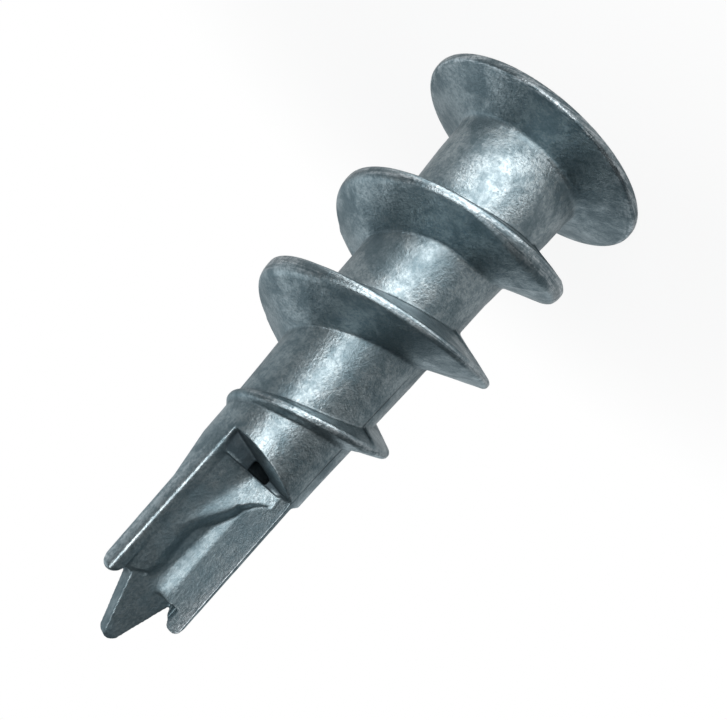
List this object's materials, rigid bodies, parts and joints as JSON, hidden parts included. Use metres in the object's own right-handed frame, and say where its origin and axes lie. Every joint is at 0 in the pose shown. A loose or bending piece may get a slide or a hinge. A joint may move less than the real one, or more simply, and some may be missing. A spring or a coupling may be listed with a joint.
{
  "type": "self-drilling drywall anchor",
  "caption": "Cast self-drilling drywall anchor with a thin round head, a coarse thread on a tapered body and a forked end round a central drilling point.",
  "frame": {"origin": "centre of the head's outer face", "axes": "+Z from the head to the drilling point, +X toward one parting seam, +Y along the draw of the die"},
  "size_m": [0.0132, 0.0132, 0.032],
  "materials": {
    "zinc": null
  },
  "bodies": {
    "root": {"anchor": "zinc"}
  },
  "joints": []
}
